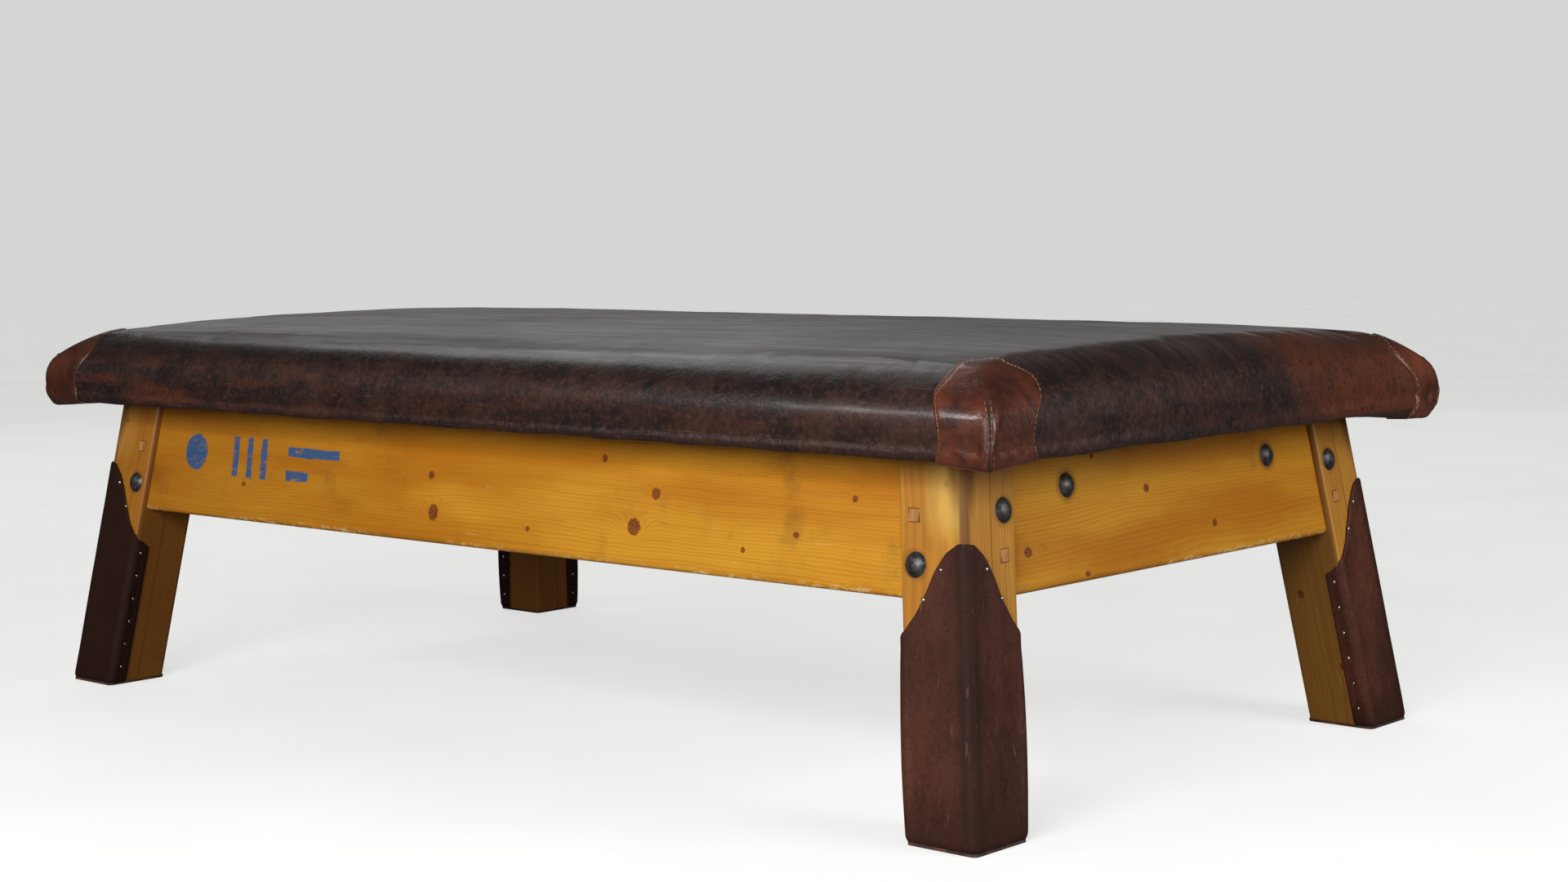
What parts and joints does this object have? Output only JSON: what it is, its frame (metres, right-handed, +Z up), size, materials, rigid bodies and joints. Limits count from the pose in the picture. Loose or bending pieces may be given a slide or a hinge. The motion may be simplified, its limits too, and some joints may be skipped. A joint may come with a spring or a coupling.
{
  "type": "padded gymnastics table",
  "caption": "Low gymnastics table: a leather-covered padded top with sewn corner patches on a splayed, bolted pine frame with leather-guarded legs.",
  "frame": {"origin": "on the floor under the middle of the table, at the bottom centre of its bounding box", "axes": "+X along the table's length, towards the right end; +Y across it, towards the back; +Z up, the shortest extent"},
  "size_m": [1.5, 0.832, 0.464],
  "materials": {
    "cover_leather": "waxed, near-black brown, worn satin",
    "patch_leather": "polished red-brown",
    "guard_leather": "satin dark red-brown, fine grain",
    "sole_leather": "worn dark sole leather",
    "hessian": "coarse plain weave jute",
    "horsehair": "curled hair",
    "pine_boards": "planed, unvarnished",
    "pine_battens": "planed, unvarnished",
    "pine_rails": "amber varnished pine, knots, horizontal grain",
    "pine_legs": "amber varnished pine, upright grain",
    "peg_wood": "end grain",
    "blackened_steel": "blackened, satin",
    "screw_steel": "dull zinc",
    "bright_tacks": "bright",
    "blued_tacks": "blued"
  },
  "bodies": {
    "root": {"batten_screws": "screw_steel", "corner_patch_back_left": "patch_leather", "corner_patch_back_right": "patch_leather", "corner_patch_front_left": "patch_leather", "corner_patch_front_right": "patch_leather", "cover_tacks": "blued_tacks", "end_batten_left": "pine_battens", "end_batten_right": "pine_battens", "foot_sole_back_left": "sole_leather", "foot_sole_back_right": "sole_leather", "foot_sole_front_left": "sole_leather", "foot_sole_front_right": "sole_leather", "guard_tacks": "bright_tacks", "hessian_liner": "hessian", "horsehair_padding": "horsehair", "joint_pegs": "peg_wood", "leather_cover": "cover_leather", "leg_back_left_inner": "pine_legs", "leg_back_left_outer": "pine_legs", "leg_back_right_inner": "pine_legs", "leg_back_right_outer": "pine_legs", "leg_bolts": "blackened_steel", "leg_front_left_inner": "pine_legs", "leg_front_left_outer": "pine_legs", "leg_front_right_inner": "pine_legs", "leg_front_right_outer": "pine_legs", "leg_guard_back_left": "guard_leather", "leg_guard_back_right": "guard_leather", "leg_guard_front_left": "guard_leather", "leg_guard_front_right": "guard_leather", "leg_nuts": "blackened_steel", "leg_washers": "blackened_steel", "mid_batten_left": "pine_battens", "mid_batten_right": "pine_battens", "rail_back": "pine_rails", "rail_front": "pine_rails", "rail_left": "pine_rails", "rail_right": "pine_rails", "top_bolts": "blackened_steel", "top_nuts": "blackened_steel", "top_plank_1": "pine_boards", "top_plank_2": "pine_boards", "top_plank_3": "pine_boards", "top_plank_4": "pine_boards", "top_plank_5": "pine_boards", "top_plank_6": "pine_boards", "top_washers": "blackened_steel"}
  },
  "joints": []
}
